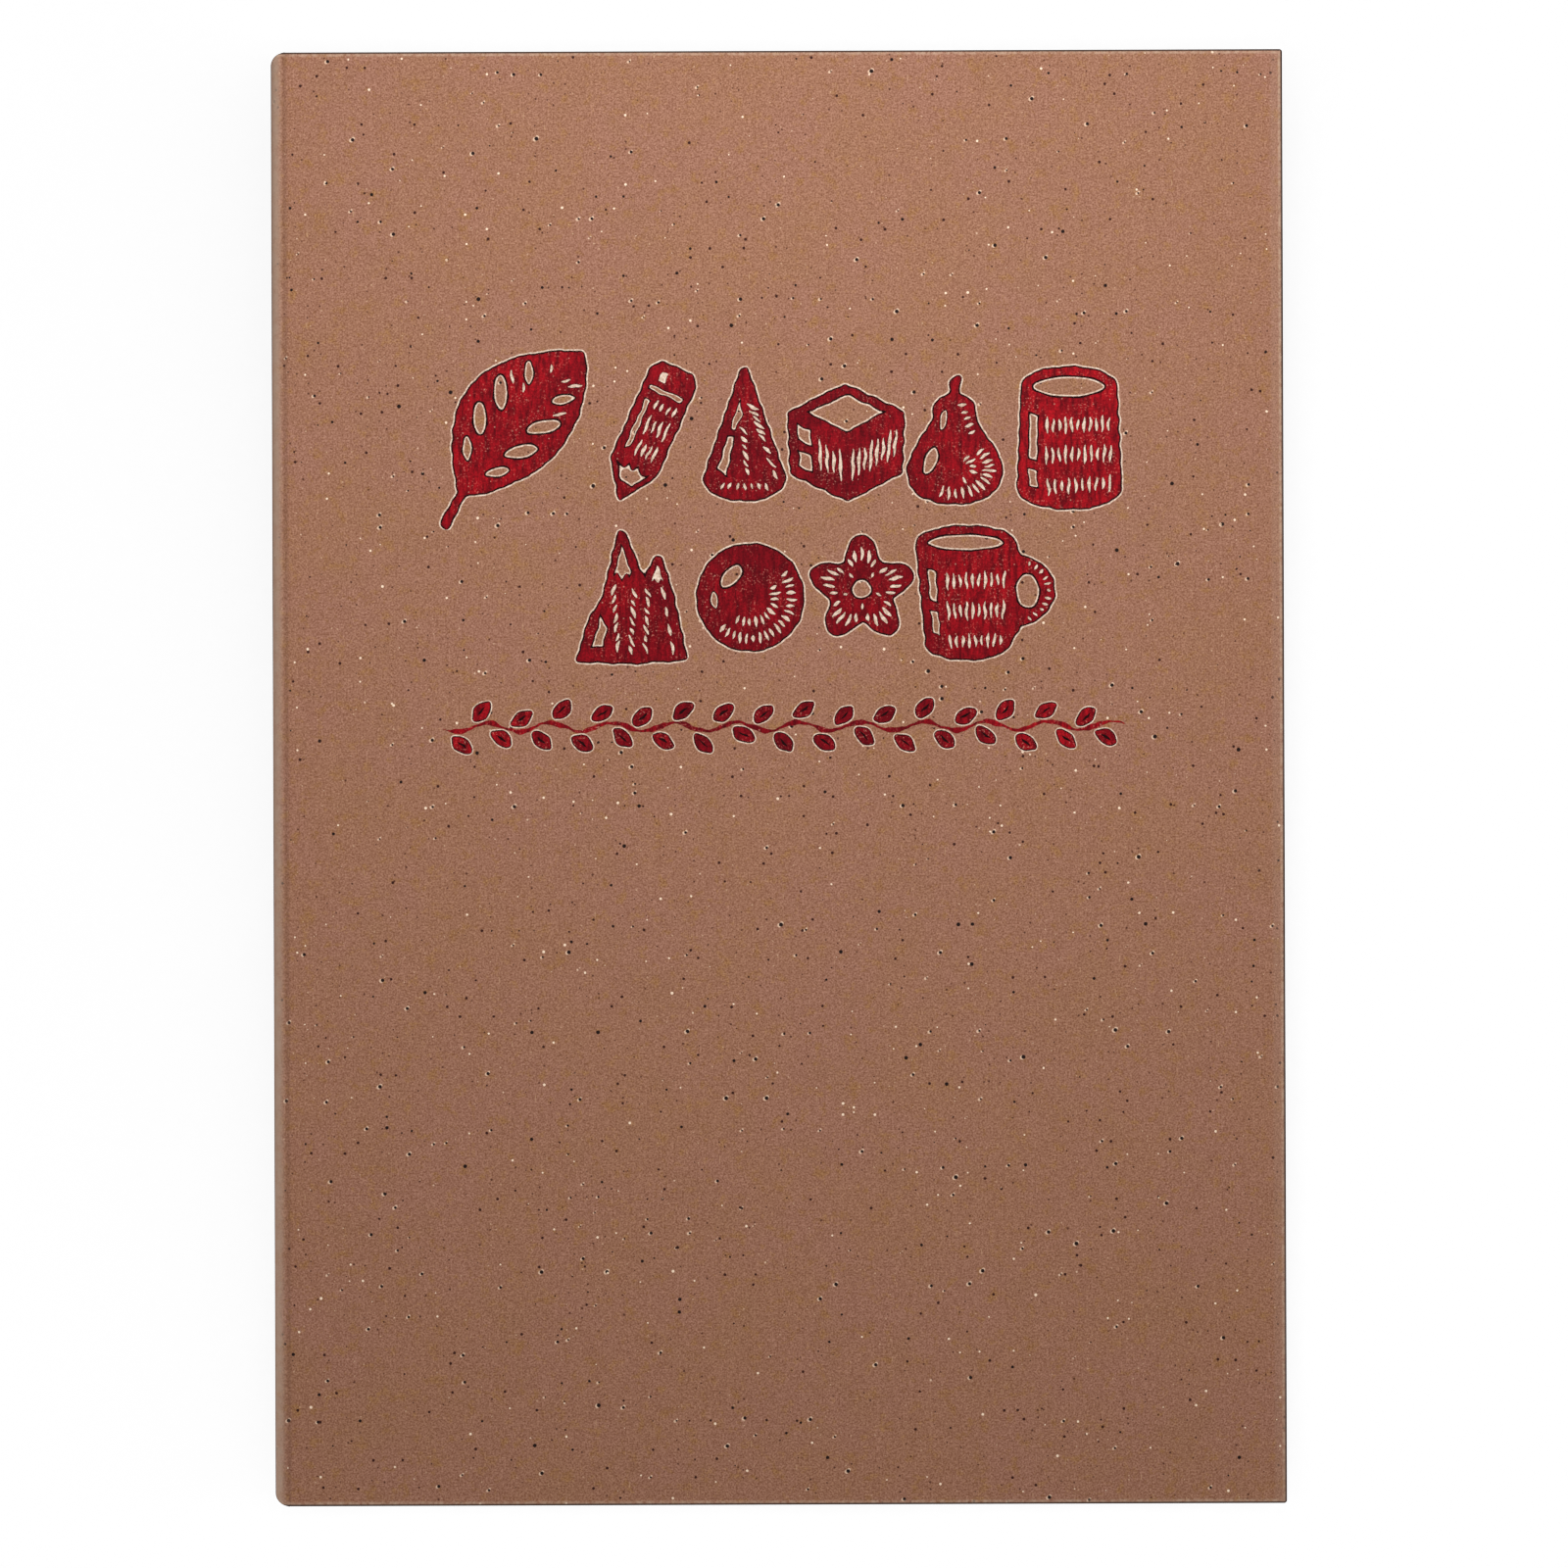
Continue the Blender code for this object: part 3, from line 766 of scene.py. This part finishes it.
def oval(x, y, half_width, half_height, turn=0, steps=20):
    ring = oval_arc(0, 0, half_width, half_height, steps=steps)[:-1]
    return turned(ring, turn, (x, y))


def sliver(x, y, length, width, turn=0):
    """A short hatch stroke, pointed at both ends."""
    loop = []
    steps = 7
    for side in (1, -1):
        for step in range(steps):
            t = step / steps
            loop.append((side * (0.5 - t) * length, side * sin(pi * t) * width / 2))
    return turned(loop, turn, (x, y))


def hatch(start, end, count, length, turn, fan=0, width=HATCH_MM):
    """A row of hatch strokes, each turned a little further."""
    strokes = []
    for index in range(count):
        t = index / (count - 1)
        stroke = length * (0.82 + 0.18 * sin(2.1 * index + 1))
        strokes.append(sliver(*between(start, end, t), stroke, width, turn + fan * t))
    return strokes


def round_hatch(centre, radius, start, end, count, length, squash=1.0, width=HATCH_MM):
    """Hatch strokes that fan round a centre."""
    strokes = []
    for index in range(count):
        angle = start + (end - start) * index / (count - 1)
        c, s = cos(radians(angle)), sin(radians(angle))
        stroke = length * (0.85 + 0.15 * sin(2.3 * index))
        strokes.append(sliver(centre[0] + radius * c, centre[1] + radius * squash * s, stroke, width, angle))
    return strokes


def encloses(loop, place):
    inside = False
    for (ax, ay), (bx, by) in runs(loop):
        if (ay > place[1]) != (by > place[1]) and place[0] < ax + (bx - ax) * (place[1] - ay) / (by - ay):
            inside = not inside
    return inside


def clear_of(loop, others, gap):
    return all(dist(a, b) >= gap for other in others for a in loop for b in other)


def fitting_windows(outline, windows):
    """The windows that lie inside the outline, clear of it and of each other."""
    kept = []
    for window in windows:
        inside = all(encloses(outline, place) for place in window)
        if inside and clear_of(window, [outline] + kept, WINDOW_GAP_MM):
            kept.append(window)
    return kept


def leaf_drawing():
    """A leaning leaf with windows between its veins."""
    stem, tip = Vector((-14.6, -18.0)), Vector((14.6, 18.0))
    axis = (tip - stem).normalized()
    across = Vector((-axis.y, axis.x))
    angle = degrees(atan2(axis.y, axis.x))

    def rib(t):
        return stem + (tip - stem) * t + across * 2.8 * sin(pi * t)

    def half_width(t):
        return max(0.8, 11.2 * sin(pi * max(0.0, t - 0.16) / 0.84) ** 0.8) if t < 1 else 0.0

    left, right = [], []
    for step in range(49):
        t = step / 48
        left.append(tuple(rib(t) + across * half_width(t)))
        right.append(tuple(rib(t) - across * half_width(t)))
    windows = []
    for t, size in ((0.34, 0.72), (0.48, 0.98), (0.63, 1.0), (0.78, 0.7)):
        for side in (1, -1):
            middle = rib(t) + across * side * half_width(t) * 0.52
            windows.append(oval(middle.x, middle.y, 3.9 * size, 1.7 * size, angle + side * 40))
    for t in (0.27, 0.41, 0.555, 0.705, 0.85):
        for side in (1, -1):
            for share, length in ((0.62, 3.4), (0.30, 2.2)):
                near = rib(t + 0.02 * share) + across * side * half_width(t) * share
                windows.append(sliver(near.x, near.y, length, 0.6, angle + side * 42))
    return dense(left + right[-2::-1]), windows


def pencil_drawing():
    """A thick pencil standing on its point, with bare wood round the lead."""
    upper = [(-15.4, 0), (-8.2, 5.0), (12.2, 5.0), (14.4, 3.4)]
    outline = dense(upper + [(x, -y) for x, y in upper[:0:-1]])
    wood = [(-12.0, 1.4), (-8.2, 3.9), (-8.9, 2.0), (-7.4, 1.0), (-8.9, 0)]
    windows = [
        dense(wood + [(x, -y) for x, y in wood[-2::-1]]),
        dense([(8.0, 3.9), (9.3, 3.9), (9.3, -3.9), (8.0, -3.9)]),
        dense([(-5.2, 3.6), (6.2, 3.7), (6.2, 2.3), (-4.4, 2.2)]),
        dense([(10.4, 2.6), (12.6, 2.4), (12.6, 1.2), (10.4, 1.2)]),
        *hatch((-4.0, -2.9), (-4.0, 0.8), 4, 4.6, 0),
        *hatch((1.2, -3.2), (1.2, 1.0), 4, 5.2, 0),
        *hatch((5.6, -3.2), (5.6, 1.0), 4, 2.6, 0),
    ]
    return turned(outline, 66), [turned(window, 66) for window in windows]


def cone_drawing():
    """A cone with a lit side and a hatched side."""
    outline = [(0.5, 13.8), (-0.5, 13.6)] + oval_arc(0, -9.4, 8.5, 4.4, 180, 360)
    return dense(outline), [
        dense([(-0.9, 7.4), (-3.1, 1.0), (-1.9, 0.6), (-0.2, 4.2)]),
        dense([(-3.5, -0.2), (-6.0, -7.6), (-3.6, -9.0), (-1.9, -0.6)]),
        *hatch((1.7, 5.6), (6.4, -8.6), 12, 3.4, -28, -26),
        *hatch((-0.2, 0.6), (0.6, -9.6), 7, 2.6, -40, -30),
        *hatch((-4.6, -10.9), (4.6, -11.0), 7, 1.9, 60, 60),
    ]


def cube_drawing():
    """A cube with an open top, a barred side and a hatched side."""
    wide = 12.0
    corners = [(0, 12.0), (-wide, 6.3), (-wide + 0.5, -6.4), (0, -12.0), (wide - 0.5, -6.4), (wide, 6.3)]
    return dense(corners), [
        dense([(0, 10.3), (-8.4, 6.3), (0, 2.0), (8.4, 6.3)]),
        dense([(-10.4, 4.2), (-7.2, 2.5), (-7.0, -1.0), (-10.2, 0.4)]),
        dense([(-10.1, -1.2), (-7.0, -2.6), (-6.8, -6.6), (-9.9, -5.0)]),
        *hatch((-5.4, -2.6), (-1.2, -4.7), 4, 8.6, 92, width=0.65),
        *hatch((1.4, -4.6), (10.2, -0.2), 8, 8.6, 89, -6, width=0.65),
    ]


def pear_drawing():
    """A pear with a stalk, a highlight and curved hatching."""
    body = [
        (-0.9, 9.6), (-0.7, 12.4), (1.2, 13.1), (0.9, 9.6), (3.8, 7.6), (4.7, 3.4),
        (7.8, -1.2), (9.8, -6.2), (7.8, -11.0), (2.8, -13.0), (-2.8, -13.0),
        (-7.8, -11.0), (-9.8, -6.2), (-7.6, -1.0), (-4.7, 3.6), (-3.8, 7.6),
    ]
    return smooth_loop(body), [
        oval(-5.0, -4.4, 1.6, 3.2, -20),
        oval(-2.3, 4.2, 0.9, 2.3, -10),
        *round_hatch((0, -6.0), 7.2, -112, 42, 14, 3.4, 0.72),
        *round_hatch((0, -6.0), 3.9, -100, 52, 8, 2.4, 0.72),
        *hatch((1.6, 7.2), (3.6, 1.6), 5, 2.2, 10, 14),
    ]


def jar_drawing():
    """A glass jar for brushes, with an open mouth."""
    outline = oval_arc(0, 10.6, 9.8, 4.1, 0, 180) + oval_arc(0, -10.6, 10.7, 4.1, 180, 360)
    return dense(outline), [
        oval(0, 10.7, 7.8, 2.4, 0, 30),
        dense([(-8.5, 5.6), (-6.3, 4.9), (-6.5, -5.0), (-8.7, -4.2)]),
        dense([(-8.8, -6.0), (-6.6, -6.8), (-6.5, -10.8), (-8.6, -9.8)]),
        *hatch((-4.6, 2.6), (8.2, 2.9), 11, 4.4, 92, -6),
        *hatch((-4.8, -3.6), (8.6, -3.2), 11, 5.0, 92, -6),
        *hatch((-4.4, -10.2), (8.4, -9.4), 10, 4.4, 94, -8),
    ]


def mountain_drawing():
    """Two peaks with snow on their tops."""
    ridge = [
        (-11.4, -13.4), (-8.8, -4.6), (-6.0, -0.4), (-2.6, 13.6), (-1.4, 13.2), (1.2, 6.6), (2.8, 3.6),
        (5.0, 8.4), (6.2, 8.0), (8.6, 0.2), (11.4, -13.2), (5.0, -13.5), (0.6, -13.9), (-4.6, -13.7),
    ]
    return dense(ridge), [
        dense([(-2.1, 11.2), (-3.9, 4.0), (-2.9, 4.8), (-2.0, 3.0), (-1.1, 4.8), (-0.4, 3.8), (0.0, 5.4)]),
        dense([(5.3, 6.4), (4.1, 3.2), (4.9, 3.8), (5.5, 2.6), (6.2, 3.8), (6.7, 3.0)]),
        dense([(-6.5, -3.6), (-8.6, -10.8), (-5.8, -10.4), (-4.9, -6.2)]),
        *hatch((-3.8, 1.4), (-2.9, -10.4), 7, 3.0, 66, 8),
        *hatch((0.6, 2.6), (-0.2, -11.2), 8, 3.0, -58, -10),
        *hatch((3.4, 0.8), (2.8, -10.8), 7, 2.8, -62, -8),
        *hatch((6.6, 0.6), (8.4, -10.8), 7, 3.2, -64, -14),
    ]


def ball_drawing():
    """A shaded ball."""
    return oval(0, 0, 11, 11, 0, 140), [
        oval(-3.9, 4.4, 3.2, 1.8, 46),
        oval(-7.5, -0.6, 0.9, 2.0, 8),
        *round_hatch((0, 0), 8.6, -132, 34, 19, 2.8, width=0.65),
        *round_hatch((0, 0), 5.2, -120, 24, 11, 2.6, width=0.65),
    ]


def flower_drawing():
    """A five-petalled flower with an open eye and veined petals."""
    outline = []
    for step in range(150):
        angle = 2 * pi * step / 150
        radius = 8.9 + 2.2 * cos(5 * (angle - pi / 2))
        outline.append((radius * cos(angle), radius * sin(angle)))
    windows = [oval(0, 0, 2.3, 2.2, 0, 24)]
    veins = ((0, 7.4, 4.2), (-12, 7.0, 3.6), (12, 7.0, 3.6), (-24, 6.0, 2.4), (24, 6.0, 2.4))
    for middle in range(90, 450, 72):
        for offset, reach, length in veins:
            turn = middle + offset
            windows += round_hatch((0, 0), reach, turn, turn + 1, 2, length, width=0.7)[:1]
        windows += round_hatch((0, 0), 3.6, middle + 36, middle + 37, 2, 1.4)[:1]
    return outline, windows


def mug_drawing():
    """A mug of water with a round handle."""
    outline = oval_arc(-4.0, 10.4, 10.2, 3.4, 0, 180) + oval_arc(-3.6, -10.6, 8.6, 3.2, 180, 352)
    outline += oval_arc(6.4, 0.4, 8.0, 7.2, -82, 82)
    return dense(outline), [
        oval(-4.0, 10.5, 8.2, 1.9, 0, 30),
        oval(8.9, 0.4, 2.7, 3.9, 4, 24),
        dense([(-12.2, 5.2), (-10.0, 4.6), (-9.6, -2.2), (-11.6, -1.6)]),
        dense([(-11.5, -3.4), (-9.5, -4.0), (-9.2, -9.2), (-10.9, -8.4)]),
        *hatch((-7.8, 2.4), (4.0, 2.8), 10, 4.6, 95, -9),
        *hatch((-7.6, -3.8), (3.8, -3.6), 10, 5.0, 95, -9),
        *hatch((-7.2, -10.2), (3.2, -9.8), 9, 3.8, 96, -10),
        *round_hatch((6.4, 0.4), 6.9, -66, 66, 11, 1.5, 0.9, width=0.55),
    ]


def garland_marks():
    """The rule under the drawings: a wavy stem with a leaf at each side of it in turn."""
    reach, leaf_reach = GARLAND_REACH_MM, GARLAND_REACH_MM - 3.8

    def stem_y(x):
        return GARLAND_SWAY_MM * sin(2 * pi * x / GARLAND_PERIOD_MM)

    upper, lower = [], []
    for x in spread(-reach, reach, 300):
        half = 0.5 * (0.8 + 0.3 * sin(0.9 * x)) * min(1.0, 0.15 + (reach - abs(x)) / 4)
        upper.append((x, stem_y(x) + half))
        lower.append((x, stem_y(x) - half))
    stem = lower + upper[::-1]
    marks = [(stem, [])]
    for index, x in enumerate(spread(-leaf_reach, leaf_reach, GARLAND_LEAVES - 1)):
        side = 1 if index % 2 else -1
        y = stem_y(x) + side * 2.2
        turn = side * (38 + 9 * sin(1.7 * index))
        shape = dense(turned(leaflet(5.0, 2.8), turn))
        while not clear_of(moved_to(shape, (x, y)), [stem], LEAF_GAP_MM):
            y += 0.05 * side
        marks.append((moved_to(shape, (x, y)), [sliver(x, y, 2.6, 0.5, turn)]))
    return marks


def leaflet(length, width):
    """A small pointed leaf."""
    upper = [(length * (t / 10 - 0.5), width / 2 * sin(pi * t / 10) ** 0.8) for t in range(11)]
    return upper + [(x, -y) for x, y in upper[-2:0:-1]]


def wobble(loop, seed):
    """The unevenness of a shape cut by hand."""
    moved = []
    for x, y in loop:
        a = sin(0.9 * x + 1.7 * y + seed) + 0.6 * sin(2.3 * x - 1.9 * y + 2 * seed)
        b = sin(1.3 * y - 1.1 * x + 3 * seed) + 0.6 * sin(2.1 * y + 2.7 * x + seed)
        moved.append((x + WOBBLE_MM * a, y + WOBBLE_MM * b))
    return moved


def loop_area(loop):
    return sum(ax * by - bx * ay for (ax, ay), (bx, by) in runs(loop)) / 2


def grown(loop, distance):
    """An outline moved outwards, without the places where it would fold over itself."""
    sign = 1 if loop_area(loop) > 0 else -1
    clear = []
    for index, (x, y) in enumerate(loop):
        before, after = loop[index - 2], loop[(index + 2) % len(loop)]
        along = Vector((after[0] - before[0], after[1] - before[1]))
        if along.length > 1e-9:
            along.normalize()
        place = (x + sign * along.y * distance, y - sign * along.x * distance)
        if min(dist(place, point) for point in loop) > CLEAR_SHARE * abs(distance):
            clear.append(place)
    eased = []
    for index, place in enumerate(clear):
        trio = clear[index - 1], place, clear[(index + 1) % len(clear)]
        eased.append(tuple(sum(values) / 3 for values in zip(*trio)))
    return eased


def widest(loop):
    """About how wide a window is, from its area and the way round it."""
    around = sum(dist(a, b) for a, b in runs(loop))
    return 2 * abs(loop_area(loop)) / around * WIDEST_SHARE


def rimmed(drawing, distance):
    """A drawing with its outline moved outwards and its windows, but not its hatching, drawn in."""
    outline, windows = drawing
    loops = [grown(outline, distance)]
    for window in windows:
        width = widest(window)
        if width > NARROW_WINDOW_MM:
            loops.append(grown(window, -distance * min(1.0, WINDOW_RIM_SHARE * width / PRESSED_RIM_MM)))
        elif distance < PRESSED_RIM_MM:
            loops.append(window)
    return loops


def foil_loops(drawing):
    """A drawing with its hatch strokes opened a little, to show the painted shade of their edges."""
    outline, windows = drawing
    loops = [outline]
    for window in windows:
        narrow = widest(window) <= NARROW_WINDOW_MM
        loops.append(grown(window, HATCH_RIM_MM) if narrow else window)
    return loops


def film(name, loops, top, material):
    """A thin film inside closed loops, with its face this far below the CAD box's top."""
    low, high = FILM_LOW, THICKNESS - top
    curve = bpy.data.curves.new(name, "CURVE")
    curve.dimensions = "2D"
    curve.fill_mode = "BOTH"
    curve.extrude = (high - low) / 2
    for loop in loops:
        spline = curve.splines.new("POLY")
        spline.points.add(len(loop) - 1)
        for point, (x, y) in zip(spline.points, loop):
            point.co = (x * MM, y * MM, 0, 1)
        spline.use_cyclic_u = True
    source = link(bpy.data.objects.new(name + "_outline", curve))
    source.location.z = (low + high) / 2
    mesh = evaluated_mesh(source)
    form = bmesh.new()
    form.from_mesh(mesh)
    form.transform(source.matrix_world)
    bmesh.ops.remove_doubles(form, verts=form.verts, dist=TOUCHING)
    bmesh.ops.recalc_face_normals(form, faces=form.faces)
    bpy.data.objects.remove(source, do_unlink=True)
    bpy.data.meshes.remove(mesh)
    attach(make_piece(name, form, material), "front_cover")


DRAWINGS = (
    ("foil_leaf", leaf_drawing, (-54.9, 70.6)),
    ("foil_pencil", pencil_drawing, (-26.6, 72.2)),
    ("foil_cone", cone_drawing, (-6.8, 71.7)),
    ("foil_cube", cube_drawing, (14.4, 69.8)),
    ("foil_pear", pear_drawing, (37.0, 70.3)),
    ("foil_jar", jar_drawing, (60.9, 70.6)),
    ("foil_mountain", mountain_drawing, (-30.4, 37.9)),
    ("foil_ball", ball_drawing, (-5.7, 37.6)),
    ("foil_flower", flower_drawing, (17.6, 39.2)),
    ("foil_mug", mug_drawing, (43.2, 38.4)),
)


def moved_to(loop, centre):
    return [(x + centre[0], y + centre[1]) for x, y in loop]


def placed(outline, windows, centre, seed):
    """A drawing with its hand-cut unevenness, at its place on the cover."""
    loops = [outline] + fitting_windows(outline, windows)
    outline, *windows = [moved_to(wobble(loop, seed), centre) for loop in loops]
    return outline, windows


def add_foil(material, dark, pressed):
    """Three films: the paper's pressed edge with a painted highlight, the foil's edge of painted shade over
    it, and the foil on top.
    """
    drawings = []
    for seed, (name, draw, centre) in enumerate(DRAWINGS):
        drawing = placed(*draw(), centre, seed)
        drawings.append(drawing)
        film(name, foil_loops(drawing), FOIL_TOP, material)
    marks = [placed(outline, windows, RULE_CENTRE, RULE_SEED) for outline, windows in garland_marks()]
    loops = [loop for outline, windows in marks for loop in [outline] + windows]
    film("foil_rule", loops, FOIL_TOP, material)
    # a dark rim of painted shade, then a pale pressed rim with a painted highlight
    for name, distance, top, look in (
        ("foil_dark_edge", DARK_RIM_MM, DARK_TOP, dark),
        ("foil_pressed_edge", PRESSED_RIM_MM, PRESSED_TOP, pressed),
    ):
        loops = [loop for drawing in drawings for loop in rimmed(drawing, distance)]
        loops += [grown(outline, distance * LEAFLET_RIM_SHARE) for outline, _ in marks[1:]]
        film(name, loops, top, look)


# ---- pieces kept from the CAD model


def repaint(material, slot, *nodes):
    for node in nodes:
        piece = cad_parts[node]
        piece.data.materials.clear()
        piece.data.materials.append(material)


def repaint_cad_pieces():
    """The boards, the spine's card and gauze, and the thread."""
    gauze = ("spine_gauze_front", "spine_gauze_rear", "front_gauze_flange", "back_gauze_flange")
    thread = thread_material("thread", moving=False)
    repaint(greyboard_material(), "greyboard", "front_board", "back_board")
    repaint(card_material(), "spine_card", "spine_inlay_front", "spine_inlay_rear")
    repaint(gauze_material(), "gauze", *gauze)
    repaint(thread, "thread", "sewing_thread_front", "sewing_thread_rear")


# ---- camera, floor and light


def add_camera():
    """Straight above the front cover, as square on as a copy stand."""
    view_width, tilt = 326.7 * MM, -0.2
    centre_x, centre_y = 1.2 * MM, -1.3 * MM
    camera_data = bpy.data.cameras.new("camera")
    camera_data.sensor_width = 36
    camera_data.lens = 100
    camera_data.clip_start = 0.05
    camera_data.clip_end = 20
    camera = link(bpy.data.objects.new("camera", camera_data))
    distance = view_width * camera_data.lens / camera_data.sensor_width
    camera.location = (centre_x, centre_y, THICKNESS + distance)
    camera.rotation_euler = (0, 0, radians(tilt))
    bpy.context.scene.camera = camera


def add_light(name, place, target, size, power, beam=180):
    light = bpy.data.lights.new(name, "AREA")
    light.spread = radians(beam)
    light.shape = "RECTANGLE"
    light.size, light.size_y = size
    light.energy = power
    lamp = link(bpy.data.objects.new(name, light))
    lamp.location = place
    lamp.visible_camera = False
    lamp.rotation_mode = "QUATERNION"
    lamp.rotation_quaternion = (Vector(target) - lamp.location).to_track_quat("-Z", "Y")
    return lamp


def add_lights():
    """Low strips that light the book's sides and graze its top, and a soft light over its head."""
    low_place, low_target, low_size, low_power = (-0.45, 0.10), (0, 0, 0.01), (0.50, 0.16), 1.6
    lamps = [add_light("side_fill", (x, *low_place), low_target, low_size, low_power) for x in (0.50, -0.50)]
    softbox = add_light("head_softbox", (0.03, 0.40, 0.50), (0.01, 0.08, 0.02), (0.45, 0.30), 1.44, beam=100)
    return lamps + [softbox]


def light_only(lamp, pieces):
    reached = bpy.data.collections.new("reached_by_" + lamp.name)
    for piece in pieces:
        reached.objects.link(piece)
    lamp.light_linking.receiver_collection = reached


def add_floor():
    """A floor that shows only shadows, with an even light of its own that keeps them faint."""
    floor_mesh = bpy.data.meshes.new("floor")
    form = bmesh.new()
    bmesh.ops.create_grid(form, x_segments=8, y_segments=8, size=FLOOR_HALF_WIDTH)
    form.to_mesh(floor_mesh)
    form.free()
    floor_mesh.materials.append(floor_material())
    floor = link(bpy.data.objects.new("floor", floor_mesh))
    floor.location.z = FLOOR_Z
    floor.is_shadow_catcher = True
    wash = add_light("floor_wash", (0, 0, 1.5), (0, 0, 0), (1.0, 1.0), 12.0)
    wash.data.use_shadow = False
    light_only(wash, [floor])
    return floor


def add_world():
    """White behind the object, and a dimmer even light on it."""
    seen_strength, lit_strength = 1.0, 0.22
    world = bpy.data.worlds.new("studio")
    bpy.context.scene.world = world
    world.use_nodes = True
    tree = world.node_tree
    tree.nodes.clear()
    by_camera = add_node(tree, "LightPath", {})["Is Camera Ray"]
    lit = add_node(tree, "Background", {"Color": (1, 1, 1), "Strength": lit_strength})[0]
    seen = add_node(tree, "Background", {"Color": (1, 1, 1), "Strength": seen_strength})[0]
    mixed = add_node(tree, "MixShader", {0: by_camera, 1: lit, 2: seen})[0]
    add_node(tree, "OutputWorld", {"Surface": mixed})


def main():
    bpy.context.scene.view_settings.view_transform = "Standard"
    add_camera()
    floor = add_floor()
    add_world()
    lamps = add_lights()

    kraft = kraft_material()
    drawing = paper_material("drawing_paper", (0.84, 0.82, 0.76), (0.80, 0.775, 0.71), 2.2)
    endpaper = paper_material("endpaper", (0.79, 0.755, 0.67), (0.74, 0.70, 0.61), 1.6)
    add_case(kraft)
    add_sections(drawing)
    add_centre_leaves(drawing)
    add_centre_fold(drawing)
    add_centre_stitches(thread_material("thread_moving", moving=True))
    add_endpapers(endpaper)
    add_foil(foil_material(), foil_edge_shade_material(), pressed_edge_highlight_material())
    repaint_cad_pieces()
    book = [piece for piece in bpy.context.scene.objects if piece.type == "MESH" and piece != floor]
    for lamp in lamps:
        light_only(lamp, book)


main()
